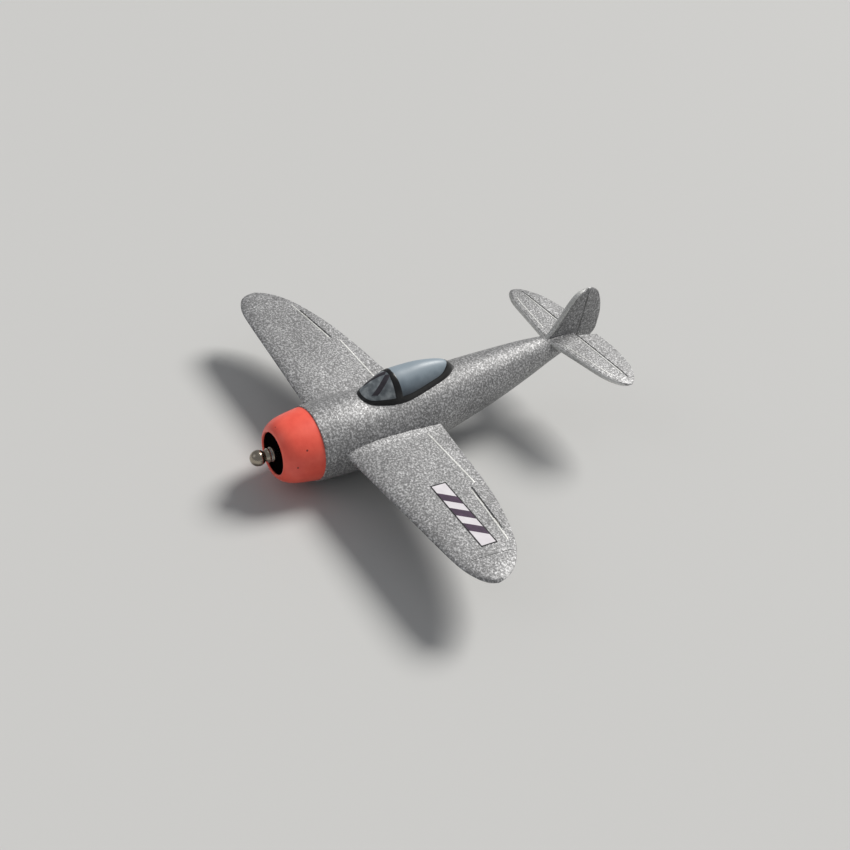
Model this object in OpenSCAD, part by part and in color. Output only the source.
// Small foam radio-controlled fighter, a belly lander without wheels.
// Nose towards -Y, left wing towards +X, +Z up. The belly skid's underside is Z = 0.

/* [Foam airframe] */
// Thickness of the moulded fuselage wall
wall = 4; // [3.5:0.25:4.5]
// Upward slant of each wing panel, in degrees
dihedral = 3.3; // [3:0.1:3.6]
// Thickness of the wing at its root
root_t = 9.5; // [9:0.25:10.5]
// Thickness of the wing near its tip
tip_t = 5.5; // [5:0.25:6]
// Thickness of the tailplane
tail_t = 5; // [4.5:0.25:5.25]
// Thickness of the fin
fin_t = 5; // [4.5:0.25:5.5]

/* [Motor and cowl] */
// Height of the motor axis above the skid's underside
thrust_z = 36; // [35.5:0.25:36.5]
// Radius of the nose where the cowl starts
nose_r = 31.3; // [31:0.1:31.6]
// Radius of the crown of the cowl's lip
lip_r = 19.5; // [19:0.25:20]
// Radius of the domed propeller nut
nut_r = 6.5; // [6:0.1:6.8]
// Radius of the motor's bell
bell_r = 7; // [6.8:0.1:7.5]

/* [Controls] */
// Distance from every servo shaft and hinge line to its pushrod
crank = 8; // [8:0.1:8.3]
// Radius of the pushrod wire
rod_r = 0.5; // [0.4:0.05:0.5]
// Radius of the hinge pins
pin_r = 0.5; // [0.45:0.05:0.55]
// Radial clearance of every running fit
fit = 0.05; // [0.03:0.01:0.08]

/* [Hidden] */
$fn = 48;

gap = 0.1;
seam = 0.05;
silver = "silver";
plastic = "dimgray";

// Fuselage stations: y, height of the centre, half width, half height.
body_plan = [
    [-125, thrust_z, nose_r, nose_r], [-99, 36, 32, 33.5], [-69, 36, 32, 33.5],
    [-29, 39, 31, 33], [11, 46, 27.5, 29], [51, 53.5, 22.5, 24.5],
    [91, 62, 16, 18.5], [116, 67, 11, 13.5], [141, 71, 5.5, 9.5], [149.7, 72, 3, 8.5]
];
// Wing plan: distance from the middle, leading edge y, trailing edge y.
wing_plan = [
    [20, -108, -13.5], [60, -106, -20], [100, -104, -26], [130, -102.6, -32.5],
    [150, -101.7, -38.8], [170, -100.3, -47], [180, -98.5, -53], [190, -94.5, -61.7],
    [196, -90, -69.5], [199.7, -84, -77]
];
// Tailplane plan: distance from the middle, leading edge y, trailing edge y.
tail_plan = [
    [0, 113.8, 167.6], [20, 117.3, 169.3], [40, 120.9, 167.9], [58, 124.1, 164],
    [66, 126.1, 160.9], [74, 129.7, 155.7], [80, 133.8, 150.1], [83.8, 139, 144.5]
];
// Fin and rudder plan: height, leading edge y, trailing edge y.
fin_plan = [
    [66, 108, 166], [76, 109, 174], [86, 118, 175], [97, 124, 174.2],
    [109, 130, 170.5], [118, 136, 165.3], [122, 141, 161], [124.8, 148.5, 155]
];
// Canopy bubble: y, half width at its foot, height of its crown.
canopy_plan = [
    [-76.5, 3.5, 71], [-73, 8, 75.5], [-67, 11.8, 80.5], [-56, 15.4, 87],
    [-41, 16.8, 89], [-22, 15.4, 89.7], [-2, 11, 86.5], [6, 6.6, 81.5], [11.7, 1, 76]
];

tail_z = 77;
elevator_y = 146;
rudder_y = 150;
hinge_gap = 0.3;
bevel = 30;
slope = tan(dihedral);
wing_z = 42;
leading_drop = 3;
edge_t = 2;

// Hinge line of the left aileron: its middle, its sweep and half its length.
aileron_mid = [134, -46.5, 48.3];
aileron_sweep = 8.3;
aileron_half = 24;
elevator_span = [6.3, 76];

// ---- shapes that repeat ----

function rise(t, i, c) =
    let (a = max(i - 1, 0), b = min(i + 1, len(t) - 1)) (t[b][c] - t[a][c]) / (t[b][0] - t[a][0]);
function segment(t, s) = max([0, for (i = [0 : len(t) - 2]) if (s >= t[i][0]) i]);
// Smooth value of column c of table t at s.
function smooth(t, s, c) =
    let (i = segment(t, s), w = t[i + 1][0] - t[i][0], u = (s - t[i][0]) / w)
    (2 * pow(u, 3) - 3 * u * u + 1) * t[i][c] + (pow(u, 3) - 2 * u * u + u) * w * rise(t, i, c)
    + (3 * u * u - 2 * pow(u, 3)) * t[i + 1][c] + (pow(u, 3) - u * u) * w * rise(t, i + 1, c);

// Solid through a list of rings, each a closed loop with the same number of points.
module loft(rings) {
    n = len(rings[0]);
    last = (len(rings) - 1) * n;
    skin = [for (i = [0 : len(rings) - 2], j = [0 : n - 1])
        each let (a = i * n + j, b = i * n + (j + 1) % n) [[a, b, b + n], [a, b + n, a + n]]];
    ends = [[for (j = [n - 1 : -1 : 0]) j], [for (j = [0 : n - 1]) last + j]];
    polyhedron([for (r = rings) each r], concat(skin, ends));
}

// Foam comes out of its mould in one piece: a pass that keeps every size as it is.
module moulded() { resize([0, 0, 0]) children(); }

module place(origin, ux, uy) {
    uz = cross(ux, uy);
    multmatrix([[ux.x, uy.x, uz.x, origin.x], [ux.y, uy.y, uz.y, origin.y],
        [ux.z, uy.z, uz.z, origin.z], [0, 0, 0, 1]]) children();
}

module bar(a, b, r) {
    d = b - a;
    translate(a) rotate([0, acos(d.z / norm(d)), atan2(d.y, d.x)]) cylinder(h = norm(d), r = r);
}

module block(low, high) { translate(low) cube(high - low); }

module mirrored(side) { mirror([side < 0 ? 1 : 0, 0, 0]) children(); }

// Half thickness of an aerofoil section, as a share of its thickness, at c of its chord.
function section(c) =
    5 * (0.2969 * sqrt(c) - 0.126 * c - 0.3516 * c * c + 0.2843 * pow(c, 3) - 0.1036 * pow(c, 4));
chords = [1, 0.9, 0.78, 0.64, 0.5, 0.36, 0.24, 0.14, 0.07, 0.02];
outline = concat([for (c = chords) [c, -1]], [[0, 0]], [for (i = [len(chords) - 1 : -1 : 0]) [chords[i], 1]]);

// ---- the foam outlines ----

function body_ring(y, d, sides) =
    [for (k = [0 : sides - 1]) let (t = 360 * k / sides)
        [(smooth(body_plan, y, 2) + d) * cos(t), y,
        smooth(body_plan, y, 1) + (smooth(body_plan, y, 3) + d) * sin(t)]];
body_stations = [-125, -117, -108, -99, -84, -69, -56, -42, -29, -16, -2, 11, 24, 38, 51, 64, 78, 91, 104,
    116, 129, 141, 149.7];
// The fuselage's outer shape, grown by d, between two stations.
module body_solid(d = 0, from = -125, to = 149.7) {
    ys = [for (y = body_stations) if (y > from && y < to) y];
    loft([for (y = concat([from], ys, [to])) body_ring(y, d, 48)]);
}

function wing_chord(x) = smooth(wing_plan, x, 2) - smooth(wing_plan, x, 1);
function wing_t(x) =
    min(root_t + (tip_t - root_t) * (x - 20) / 150, 1.2 * tip_t * sqrt(wing_chord(x) / 60));
function wing_ring(x) =
    [for (p = outline)
        let (mid = -leading_drop + 2 * p[0], edge = edge_t / 2 * p[0] * min(1, wing_chord(x) / 40))
        [x, smooth(wing_plan, x, 1) + p[0] * wing_chord(x),
        wing_z + x * slope + mid + p[1] * (section(p[0]) * wing_t(x) + edge)]];
wing_stations = [20, 40, 60, 80, 100, 115, 130, 140, 150, 160, 170, 175, 180, 185, 190, 193, 196, 198, 199.7];
module wing_solid() { loft([for (x = wing_stations) wing_ring(x)]); }

function tail_ring(x, d) =
    let (lead = smooth(tail_plan, abs(x), 1) - d, chord = smooth(tail_plan, abs(x), 2) + d - lead)
    [for (p = outline) [x, lead + p[0] * chord,
        tail_z + p[1] * (section(p[0]) * tail_t * min(1, sqrt(chord / 30)) + 0.8 * p[0] + d)]];
tail_stations = [0, 10, 20, 30, 40, 49, 58, 62, 66, 70, 74, 77, 80, 82.2, 83.8];
module tail_solid(d = 0) {
    left = [for (x = tail_stations) tail_ring(x, d)];
    right = [for (i = [len(tail_stations) - 1 : -1 : 1]) tail_ring(-tail_stations[i], d)];
    loft(concat(right, left));
}

function fin_ring(z) =
    let (lead = smooth(fin_plan, z, 1), chord = smooth(fin_plan, z, 2) - lead)
    [for (p = outline) [-p[1] * (section(p[0]) * fin_t * min(1, sqrt(chord / 30)) + 0.8 * p[0]),
        lead + p[0] * chord, z]];
module fin_solid() {
    loft([for (z = [66, 71, 76, 81, 86, 91, 97, 103, 109, 114, 118, 120, 122, 123.6, 124.8]) fin_ring(z)]);
}

// Everything behind a hinge line on local X, with the leading edge cut to a wedge so that it can swing.
module behind_hinge(from, to, deep = 60, high = 60) {
    lean = high * tan(bevel);
    translate([from, 0, 0]) rotate([90, 0, 90]) linear_extrude(to - from)
        polygon([[hinge_gap, 0], [hinge_gap + lean, high], [deep, high], [deep, -high],
            [hinge_gap + lean, -high]]);
}

module aileron_frame(side) {
    mirrored(side) translate(aileron_mid) rotate([0, -dihedral, 0]) rotate([0, 0, -aileron_sweep])
        children();
}

// ---- hinges ----

knuckle_r = 1.3;
leaf = [8, 4.6, 0.8];

module hinge_fixed() {
    rotate([0, 90, 0]) cylinder(h = 3, r = knuckle_r, center = true);
    rotate([0, 90, 0]) cylinder(h = leaf.x, r = pin_r, center = true);
    block([-1.5, -2.5, -leaf.z / 2], [1.5, 0, leaf.z / 2]);
    block([-leaf.x / 2, -2.2 - leaf.y, -leaf.z / 2], [leaf.x / 2, -2.2, leaf.z / 2]);
}
module hinge_moving() {
    difference() {
        union() {
            for (x = [-leaf.x / 2, 1.7]) {
                translate([x, 0, 0]) rotate([0, 90, 0]) cylinder(h = 2.3, r = knuckle_r);
                block([x, 0, -leaf.z / 2], [x + 2.3, 2.5, leaf.z / 2]);
            }
            block([-leaf.x / 2, 2.2, -leaf.z / 2], [leaf.x / 2, 2.2 + leaf.y, leaf.z / 2]);
        }
        rotate([0, 90, 0]) cylinder(h = 20, r = pin_r + fit, center = true);
    }
}
// Room in the foam for one hinge: the knuckles' pocket and the slot for both leaves.
module hinge_room() {
    cube([leaf.x + 1.2, 4.8, 3.4], center = true);
    cube([leaf.x + 0.2, 14, leaf.z + 0.1], center = true);
}
module aileron_hinge_spots() { for (x = [-8, 16]) translate([x, 0, 0]) children(); }
module elevator_hinge_spots() {
    for (x = [-60, -30, 30, 60]) translate([x, elevator_y, tail_z]) children();
}
module rudder_hinge_spots() {
    for (z = [90, 112]) place([0, rudder_y, z], [0, 0, 1], [0, 1, 0]) children();
}

// ---- servos, arms and rods ----
// A servo stands with its shaft on +Z, its case's top at z = 0 and its arm pointing to -Y.

case = [17, 8, 14];
shaft_back = 4.5;
arm_z = 1.5;
arm_t = 1.2;
shaft_r = 1.2;

module servo() {
    difference() {
        union() {
            block([shaft_back - case.x, -case.y / 2, -case.z], [shaft_back, case.y / 2, 0]);
            cylinder(h = 1.2, r = 3.7);
            translate([-4.8, 0, 0]) cylinder(h = 1.2, r = 2);
            block([shaft_back - case.x - 4, -case.y / 2, -4.6], [shaft_back + 4, case.y / 2, -3.6]);
        }
        translate([0, 0, -3]) cylinder(h = 10, r = shaft_r + fit);
        for (x = [shaft_back - case.x - 2.2, shaft_back + 2.2])
            translate([x, 0, -10]) cylinder(h = 20, r = 0.8);
    }
}
module servo_arm() {
    difference() {
        union() {
            translate([0, 0, -2.5]) cylinder(h = arm_z + arm_t + 3, r = shaft_r);
            translate([0, 0, arm_z]) cylinder(h = arm_t + 0.6, r = 2.4);
            translate([0, 0, arm_z]) linear_extrude(arm_t) {
                polygon([[-2.2, 0], [2.2, 0], [1.4, -crank], [-1.4, -crank]]);
                translate([0, -crank]) circle(1.5);
            }
        }
        translate([0, -crank, 0]) cylinder(h = 10, r = rod_r + fit);
    }
}
module servo_room() {
    block([shaft_back - case.x - 4.3, -12, -4.9], [shaft_back + 4.3, 4.3, -3.3]);
    block([shaft_back - case.x - 0.3, -12, -14.4], [shaft_back + 0.3, 4.3, 4]);
}

module aileron_servo_place() {
    place([-15.9 - arm_z - arm_t, -30, -2.5], [0, 1, 0], [0, 0, 1]) children();
}
module elevator_servo_place() {
    place([-12.6 + arm_z + arm_t, 12, 48], [0, -1, 0], [0, 0, 1]) children();
}
module rudder_servo_place() { place([0, 40, 48.6], [0, -1, 0], [1, 0, 0]) children(); }

// Wire from a to b with a bent end at each, along the directions da and db.
module pushrod(a, b, da, db) {
    bend_r = 1.1 * rod_r;
    bar(a, b, rod_r);
    for (e = [[a, da], [b, db]]) {
        translate(e[0]) sphere(bend_r);
        bar(e[0], e[0] + e[1], rod_r);
    }
}

// A flat control horn with its hole at the origin; the outline's points are in its own plane.
module horn(points) {
    difference() {
        linear_extrude(arm_t) {
            polygon(points);
            circle(1.5);
        }
        translate([0, 0, -1]) cylinder(h = 10, r = 0.8);
    }
}
side_horn = [[-1.4, 0.6], [-0.6, -1.4], [1, -1.2], [7.5, 4.2], [9, 6.6], [3, 7.2], [1.9, 5.7]];

// ---- leads ----

function span(p, i, t) =
    let (a = p[max(i - 1, 0)], b = p[i], c = p[i + 1], d = p[min(i + 2, len(p) - 1)])
    0.5 * (2 * b + (c - a) * t + (2 * a - 5 * b + 4 * c - d) * t * t
    + (3 * b - a - 3 * c + d) * pow(t, 3));
function route(p, steps) =
    concat([for (i = [0 : len(p) - 2], k = [0 : steps - 1]) span(p, i, k / steps)], [p[len(p) - 1]]);
function unit(v) = v / norm(v);
module lead(points, r, steps = 2) {
    p = route(points, steps);
    loft([for (i = [0 : len(p) - 1])
        let (t = unit(p[min(i + 1, len(p) - 1)] - p[max(i - 1, 0)]),
            u = unit(cross(t, abs(t.z) < 0.8 ? [0, 0, 1] : [1, 0, 0])), v = cross(t, u))
        [for (k = [0 : 7]) p[i] + r * (u * cos(45 * k) - v * sin(45 * k))]]);
}

// ---- fuselage ----

bay = [-66, 3];
hatch_t = 2.5;
cavity_end = 118;

module bay_opening(d) {
    translate([0, 0, 50]) linear_extrude(60)
        polygon([for (s = [-1, 1], i = [0 : 12])
            let (k = s < 0 ? i : 12 - i, y = bay[0] - d + (bay[1] - bay[0] + 2 * d) * k / 12)
            [s * (min(smooth(canopy_plan, y, 1) - 3.5, 12) + d), y]]);
}
// Grooves in the right side where the elevator and rudder rods leave the fuselage.
module rod_slots() {
    hull() for (y = [86, 122]) translate([-11, y, 40 + 29 * (y - 12) / 134]) cube([6, 1, 3.6], center = true);
    hull() for (y = [100, 140]) translate([-8.5, y, 52.1 + 16.5 * (y - 40) / 110]) cube([5, 1, 3.6], center = true);
}
module spar_bars(r, from, to) {
    for (s = [-1, 1])
        bar([s * from, -92, 39.3 + from * slope], [s * to, -92, 39.3 + to * slope], r);
}
module aileron_lead_holes() {
    for (s = [-1, 1]) bar([s * 24, -75.5, 39.5], [s * 98, -75.5, 43.7], 1.2);
}
// Where the hatch's magnets hang: just under its foam, above a ledge at each end of the bay.
magnet_y = [-62, -1];
magnet_t = 1.2;
function under_hatch(y) = smooth(body_plan, y, 1) + smooth(body_plan, y, 3) - hatch_t - 0.4;
module bay_ledges() {
    intersection() {
        body_solid(0.5 - wall, -120, 60);
        union() {
            block([-20, bay[0] - 4, 57], [20, magnet_y[0] + 3, under_hatch(magnet_y[0]) - 2 * magnet_t - 0.35]);
            block([-20, magnet_y[1] - 3, 62], [20, bay[1] + 4, under_hatch(magnet_y[1]) - 2 * magnet_t - 0.35]);
        }
    }
}
// The cowl slips over a boss at the front of the two shells.
module fuselage() {
    boss_r = nose_r - 2.4;
    difference() {
        union() {
            difference() {
                union() {
                    body_solid();
                    on_axis(-131) cylinder(h = 9, r = boss_r);
                }
                body_solid(-wall, -124, cavity_end);
                bay_opening(0);
                on_axis(-132) cylinder(h = 12, r = nose_r - wall - 0.3);
            }
            bay_ledges();
        }
        spar_bars(1.6, 20, 60);
        aileron_lead_holes();
        tail_solid(gap);
        rod_slots();
        bar([-12, elevator_y, tail_z], [12, elevator_y, tail_z], 0.95, $fn = 24);
    }
}
module fuselage_shell_left() {
    color(silver) moulded() intersection() {
        fuselage();
        block([seam, -140, -5], [60, 160, 120]);
    }
}
module fuselage_shell_right() {
    color(silver) moulded() intersection() {
        fuselage();
        block([-60, -140, -5], [-seam, 160, 120]);
    }
}
module belly_skid() {
    color(plastic) difference() {
        translate([0, -115, 0]) rotate([-90, 0, 0]) linear_extrude(85)
            polygon([[-9, 0], [9, 0], [11, -1.2], [11, -4], [-11, -4], [-11, -1.2]]);
        moulded() body_solid(gap, -124, -20);
    }
}

// ---- cowl and motor ----

cowl_y = [-156, -125];
module cowl() {
    deep = cowl_y[1] - cowl_y[0];
    skin = 1.9;
    color("tomato") translate([0, 0, thrust_z]) rotate([90, 0, 0]) translate([0, 0, -cowl_y[1]])
        rotate_extrude($fn = 96) polygon(concat(
            [for (a = [0 : 7.5 : 90]) [lip_r + (nose_r - lip_r) * cos(a), deep * sin(a)]],
            [for (a = [30 : 30 : 90]) [lip_r - 1.2 * sin(a), deep - 1.2 + 1.2 * cos(a)]],
            [for (a = [90 : -7.5 : 0]) [lip_r - 1.2 + (nose_r - skin - lip_r + 1.2) * cos(a), (deep - 2.5) * sin(a)]]));
}

module on_axis(y) { translate([0, y, thrust_z]) rotate([-90, 0, 0]) children(); }

module firewall() {
    color(plastic) difference() {
        on_axis(-130) cylinder(h = 3, r = nose_r - wall - 0.3 - gap);
        on_axis(-131) cylinder(h = 5, r = 2.6);
        on_axis(-131) motor_screw_spots() cylinder(h = 5, r = 0.6);
        block([-4, -131, 24], [4, -126, 28]);
    }
}
module motor_screw_spots() { for (a = [45 : 90 : 315]) rotate(a) translate([4.4, 0, 0]) children(); }
module motor_screws() {
    color("silver") on_axis(-132.3) motor_screw_spots() {
        cylinder(h = 0.8, r = 1.1);
        cylinder(h = 4.5, r = 0.55);
    }
}
module motor_stator() {
    color("peru") difference() {
        union() {
            on_axis(-131.5) cylinder(h = 1.5, r = 6.2);
            on_axis(-144) cylinder(h = 13, r = 2.4);
            on_axis(-143) linear_extrude(8) {
                circle(3.2);
                for (a = [0 : 40 : 320]) rotate(a) {
                    translate([2, -0.6]) square([3, 1.2]);
                    translate([4.5, -1.4]) square([0.9, 2.8]);
                }
            }
        }
        on_axis(-150) cylinder(h = 30, r = 0.75 + fit);
        on_axis(-132) motor_screw_spots() cylinder(h = 5, r = 0.6);
    }
}
module motor_bell() {
    color("darkslategray") difference() {
        union() {
            on_axis(-146) cylinder(h = 12.5, r = bell_r);
            on_axis(-148) cylinder(h = 3, r = 2);
        }
        on_axis(-144.8) cylinder(h = 12, r = bell_r - 1.1);
        on_axis(-150) cylinder(h = 10, r = 0.75);
        on_axis(-147) for (a = [0 : 60 : 300]) rotate(a) translate([4.3, 0, 0]) cylinder(h = 3, r = 1.1);
    }
}
module motor_shaft() { color("silver") on_axis(-157) cylinder(h = 28, r = 0.75); }
module propeller_adapter() {
    color("lightgray") difference() {
        union() {
            on_axis(-166.5) cylinder(h = 9, r = 1.5);
            on_axis(-158) cylinder(h = 2.5, r = 5);
            on_axis(-155.6) cylinder(h = 7.4, r = 3.2);
        }
        on_axis(-157) cylinder(h = 10, r = 0.75);
    }
}
module propeller_washer() {
    color("silver") difference() {
        on_axis(-158.8) cylinder(h = 0.8, r = 4.3);
        on_axis(-160) cylinder(h = 3, r = 1.55);
    }
}
module propeller_nut() {
    neck = 3.4;
    y = -168.4;
    color("gainsboro") difference() {
        union() {
            translate([0, y, thrust_z]) sphere(nut_r);
            on_axis(y) cylinder(h = 9.6, r = neck);
        }
        on_axis(-167) cylinder(h = 10, r = 1.5);
    }
}

// ---- battery, radio and leads ----

tray_z = 9.6;
battery_y = [-101, -57];
module battery_tray() {
    color("burlywood") difference() {
        block([-12, -121, tray_z], [12, -52, tray_z + 1.4]);
        for (x = [-10.2, 8.9]) block([x, -86.5, 5], [x + 1.3, -77.5, 20]);
        moulded() body_tunnel();
    }
}
// The foam wall around the tray, so that the tray rests on it.
module body_tunnel() {
    difference() {
        block([-30, -122, 0], [30, -50, 30]);
        body_solid(-wall - gap, -124, -40);
    }
}
module battery() {
    color("steelblue") {
        block([-8.5, battery_y[0] + 1, tray_z + 1.4], [8.5, battery_y[1], tray_z + 15]);
        block([-7.5, battery_y[0], tray_z + 2.4], [7.5, battery_y[0] + 1, tray_z + 14]);
    }
}
module battery_strap() {
    color("black") translate([0, -86, 0]) rotate([-90, 0, 0]) linear_extrude(8) difference() {
        translate([-9.9, -tray_z - 16.3]) square([19.8, 17.3]);
        translate([-9.1, -tray_z - 15.4]) square([18.2, 15.4]);
    }
}
module speed_controller() { color("black") block([-5, -120, tray_z + 1.4], [5, -104, tray_z + 5.4]); }
module receiver() { color("darkgreen") block([-7, -48, 11.6], [7, -28, 15.6]); }
// Three leads run from the motor to the speed controller and two from there to the battery's plug.
module power_leads() {
    phase_gap = 1.2;
    color("firebrick") {
        for (x = [-phase_gap, 0, phase_gap])
            lead([[x, -132.5, 33], [x, -132.5, 30], [x, -131.5, 27.4], [x, -128.5, 26], [x, -124.5, 22],
                [x, -122.5, 16], [x, -121.2, 13.4], [x, -120, 13]], 0.45);
        for (x = [-1.5, 1.5]) {
            lead([[x, -101, 22], [x, -104, 22.6], [x, -108, 25], [x, -109, 27.4]], 0.6);
            lead([[2 * x, -109, 35.6], [2 * x, -108, 38], [2 * x, -104, 36], [3 * x, -103.2, 28], [3 * x, -102.7, 18],
                [2.5 * x, -102.8, 13.6], [2.5 * x, -104, 13]], 0.6);
        }
        block([-3.5, -111, 27.5], [3.5, -107, 35.5]);
    }
}
module servo_leads() {
    color("saddlebrown") {
        lead([[4.1, 14, 48], [9, 14, 48], [12, 13, 44], [12, 10, 38], [8, -6, 28], [4, -20, 18],
            [3, -26, 14], [3, -28, 13.6]], 0.8);
        lead([[0, 46, 34.6], [0, 44, 32.6], [-2, 30, 31], [-3, 5, 25], [-3, -18, 16.5], [-3, -26, 14],
            [-3, -28, 13.6]], 0.8);
        for (s = [-1, 1]) {
            lead([[s * 96.5, -75.5, 43.6], [s * 60, -75.5, 41.54], [s * 26, -75.5, 39.61], [s * 21, -73, 36],
                [s * 15, -60, 24], [s * 5, -52, 14.6], [s * 4, -49.5, 13.6], [s * 4, -48, 13.6]], 0.8);
        }
    }
}

// ---- canopy ----

function canopy_ring(y, d) =
    let (w = smooth(canopy_plan, y, 1) + d, top = smooth(canopy_plan, y, 2) + d,
        foot = smooth(body_plan, y, 1) + smooth(body_plan, y, 3) * sqrt(1 - pow(min(w, 26) / smooth(body_plan, y, 2), 2)))
    concat([for (t = [0 : 15 : 180]) [w * cos(t), y, foot + (top - foot) * sin(t)]],
        [[-w, y, foot - 8], [w, y, foot - 8]]);
module bubble(d) {
    ys = [-76.5, -75, -73, -70, -67, -62, -56, -49, -41, -32, -22, -12, -2, 2, 6, 9, 11.7];
    loft([for (y = ys) canopy_ring(max(y, -76.5), d)]);
}
band = 3;
module canopy_shell() {
    difference() {
        bubble(0);
        intersection() {
            bubble(-1.2);
            block([-30, -73.5, 0], [30, 8, 120]);
        }
        body_solid(gap, -124, 60);
    }
}
module hoop_zone() {
    translate([0, -53, 70]) rotate([-14, 0, 0]) cube([60, 3, 60], center = true);
}
module canopy_frame() {
    color("black") moulded() intersection() {
        canopy_shell();
        union() {
            body_solid(band, -124, 60);
            hoop_zone();
        }
    }
}
module canopy_glazing() {
    color("lightsteelblue") moulded() difference() {
        canopy_shell();
        body_solid(band + gap, -124, 60);
        minkowski() {
            hoop_zone();
            cube(2 * gap, center = true);
        }
    }
}
module canopy_hatch() {
    color(silver) moulded() difference() {
        intersection() {
            body_solid(gap / 2, -120, 60);
            bay_opening(-0.35);
        }
        body_solid(-hatch_t, -120, 60);
    }
}
module magnets(drop) {
    color("silver") for (y = magnet_y) translate([0, y, under_hatch(y) - drop]) cylinder(h = magnet_t, r = 2.5);
}
module hatch_magnets() { magnets(magnet_t); }
module bay_magnets() { magnets(2 * magnet_t + 0.3); }

// ---- wing ----

module wing_panel(side) {
    color(silver) moulded() mirrored(side) difference() {
        wing_solid();
        body_solid(gap);
        spar_bars(1.6, 20, 150.5);
        aileron_lead_holes();
        aileron_frame(1) {
            block([-aileron_half - 0.3, -hinge_gap, -12], [aileron_half + 0.3, 60, 12]);
            aileron_hinge_spots() hinge_room();
            aileron_servo_place() servo_room();
        }
    }
}
module wing_panel_left() { wing_panel(1); }
module wing_panel_right() { wing_panel(-1); }
module wing_spars() {
    color("dimgray") difference() {
        spar_bars(1.5, 13, 150);
        spar_bars(0.9, 12, 151);
    }
}
module spar_joiner() {
    color("gray") difference() {
        block([-17, -97, 35], [17, -87, 45]);
        spar_bars(1.5, 13, 40);
    }
}
module aileron(side) {
    color(silver) moulded() mirrored(side) difference() {
        intersection() {
            wing_solid();
            aileron_frame(1) behind_hinge(-aileron_half, aileron_half);
        }
        aileron_frame(1) aileron_hinge_spots() hinge_room();
    }
}
module aileron_left() { aileron(1); }
module aileron_right() { aileron(-1); }
module aileron_servos() {
    color("dodgerblue") for (s = [-1, 1]) aileron_frame(s) aileron_servo_place() servo();
}
module aileron_arm(side) { color("white") aileron_frame(side) aileron_servo_place() servo_arm(); }
module aileron_arm_left() { aileron_arm(1); }
module aileron_arm_right() { aileron_arm(-1); }
module aileron_rod(side) {
    color("silver") aileron_frame(side)
        pushrod([-15.1, -30, -2.5 - crank], [-15.1, 0, -crank], [-3, 0, 0], [-3, 0, 0]);
}
module aileron_rod_left() { aileron_rod(1); }
module aileron_rod_right() { aileron_rod(-1); }
module aileron_horn(side) {
    color("white") aileron_frame(side)
        place([-15.9 - arm_t, 0, -crank], [0, 1, 0], [0, 0, 1]) horn(side_horn);
}
module aileron_horn_left() { aileron_horn(1); }
module aileron_horn_right() { aileron_horn(-1); }
module aileron_hinges_left_fixed() { color("white") aileron_frame(1) aileron_hinge_spots() hinge_fixed(); }
module aileron_hinges_left_moving() { color("white") aileron_frame(1) aileron_hinge_spots() hinge_moving(); }
module aileron_hinges_right_fixed() { color("white") aileron_frame(-1) aileron_hinge_spots() hinge_fixed(); }
module aileron_hinges_right_moving() { color("white") aileron_frame(-1) aileron_hinge_spots() hinge_moving(); }

// ---- tail ----

module tailplane() {
    out = elevator_span[1] + 0.3;
    color(silver) moulded() difference() {
        tail_solid();
        block([-out, elevator_y - hinge_gap, 60], [out, 180, 90]);
        bar([-12, elevator_y, tail_z], [12, elevator_y, tail_z], 0.95, $fn = 24);
        elevator_hinge_spots() hinge_room();
    }
}
module elevator(side) {
    in = elevator_span[0];
    out = elevator_span[1];
    color(silver) moulded() mirrored(side) difference() {
        intersection() {
            tail_solid();
            translate([0, elevator_y, tail_z]) behind_hinge(in, out);
        }
        linear_extrude(100) polygon([[0, 140], [in, elevator_y], [in + 4.5, 172], [0, 172]]);
        elevator_hinge_spots() hinge_room();
    }
}
module elevator_left() { elevator(1); }
module elevator_right() { elevator(-1); }
module elevator_joiner() {
    r = 0.6;
    color("silver") {
        bar([-11, elevator_y, tail_z], [11, elevator_y, tail_z], r);
        for (x = [-11, 11]) {
            translate([x, elevator_y, tail_z]) sphere(r);
            bar([x, elevator_y, tail_z], [x, elevator_y + 12, tail_z], r);
        }
    }
}
module elevator_servo() { color("dodgerblue") elevator_servo_place() servo(); }
module elevator_arm() { color("white") elevator_servo_place() servo_arm(); }
module elevator_rod() {
    color("silver") pushrod([-10.6, 12, 48 - crank], [-10.6, elevator_y, tail_z - crank], [-3, 0, 0], [-3, 0, 0]);
}
module elevator_horn() {
    color("white") place([-11.4 - arm_t, elevator_y, tail_z - crank], [0, 1, 0], [0, 0, 1]) horn(side_horn);
}
module elevator_hinges_fixed() { color("white") elevator_hinge_spots() hinge_fixed(); }
module elevator_hinges_moving() { color("white") elevator_hinge_spots() hinge_moving(); }

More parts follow.
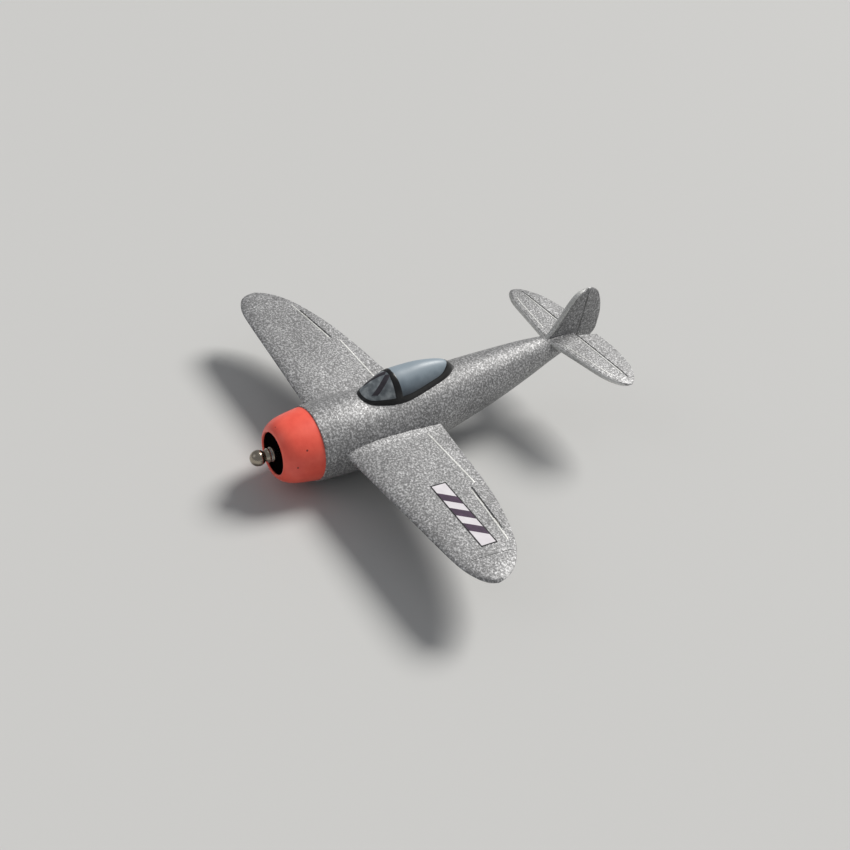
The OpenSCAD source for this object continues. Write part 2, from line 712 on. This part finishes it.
module fin() {
    color(silver) moulded() difference() {
        fin_solid();
        block([-10, rudder_y - hinge_gap, 60], [10, 180, 130]);
        body_solid(gap);
        tail_solid(gap);
        rudder_hinge_spots() hinge_room();
    }
}
module rudder() {
    color(silver) moulded() difference() {
        intersection() {
            fin_solid();
            place([0, rudder_y, 0], [0, 0, 1], [0, 1, 0]) behind_hinge(66, 130);
        }
        rudder_hinge_spots() hinge_room();
    }
}
module rudder_servo() { color("dodgerblue") rudder_servo_place() servo(); }
module rudder_arm() { color("white") rudder_servo_place() servo_arm(); }
module rudder_rod() {
    color("silver") pushrod([-crank, 40, 52.1], [-crank, rudder_y, 68.6], [0, 0, -2.6], [0, 0, 2.6]);
}
module rudder_horn() {
    color("white") translate([-crank, rudder_y, 69.4])
        horn([[-1.3, -0.8], [0.9, -1.2], [6.5, 3], [6.5, 8], [4, 8], [-1.2, 1]]);
}
module rudder_hinges_fixed() { color("white") rudder_hinge_spots() hinge_fixed(); }
module rudder_hinges_moving() { color("white") rudder_hinge_spots() hinge_moving(); }
module servo_tray() {
    color("burlywood") difference() {
        union() {
            block([-9, -2, 42.5], [9, 64, 44]);
            block([-30, 0, 42.5], [30, 5, 44]);
            block([-20, 59, 42.5], [20, 64, 44]);
        }
        block([-4.3, 35.2, 40], [4.3, 52.8, 50]);
        moulded() difference() {
            block([-40, -10, 35], [40, 80, 50]);
            body_solid(-wall - gap, -40, 100);
        }
    }
}

fuselage_shell_left();
fuselage_shell_right();
cowl();
wing_panel_left();
wing_panel_right();
wing_spars();
spar_joiner();
tailplane();
fin();
belly_skid();
firewall();
motor_screws();
motor_stator();
motor_bell();
motor_shaft();
propeller_adapter();
propeller_washer();
propeller_nut();
speed_controller();
receiver();
battery();
battery_tray();
battery_strap();
power_leads();
servo_leads();
canopy_hatch();
canopy_frame();
canopy_glazing();
hatch_magnets();
bay_magnets();
servo_tray();
aileron_servos();
elevator_servo();
rudder_servo();
aileron_left();
aileron_right();
elevator_left();
elevator_right();
elevator_joiner();
rudder();
aileron_hinges_left_fixed();
aileron_hinges_left_moving();
aileron_hinges_right_fixed();
aileron_hinges_right_moving();
elevator_hinges_fixed();
elevator_hinges_moving();
rudder_hinges_fixed();
rudder_hinges_moving();
aileron_arm_left();
aileron_arm_right();
elevator_arm();
rudder_arm();
aileron_rod_left();
aileron_rod_right();
elevator_rod();
rudder_rod();
aileron_horn_left();
aileron_horn_right();
elevator_horn();
rudder_horn();
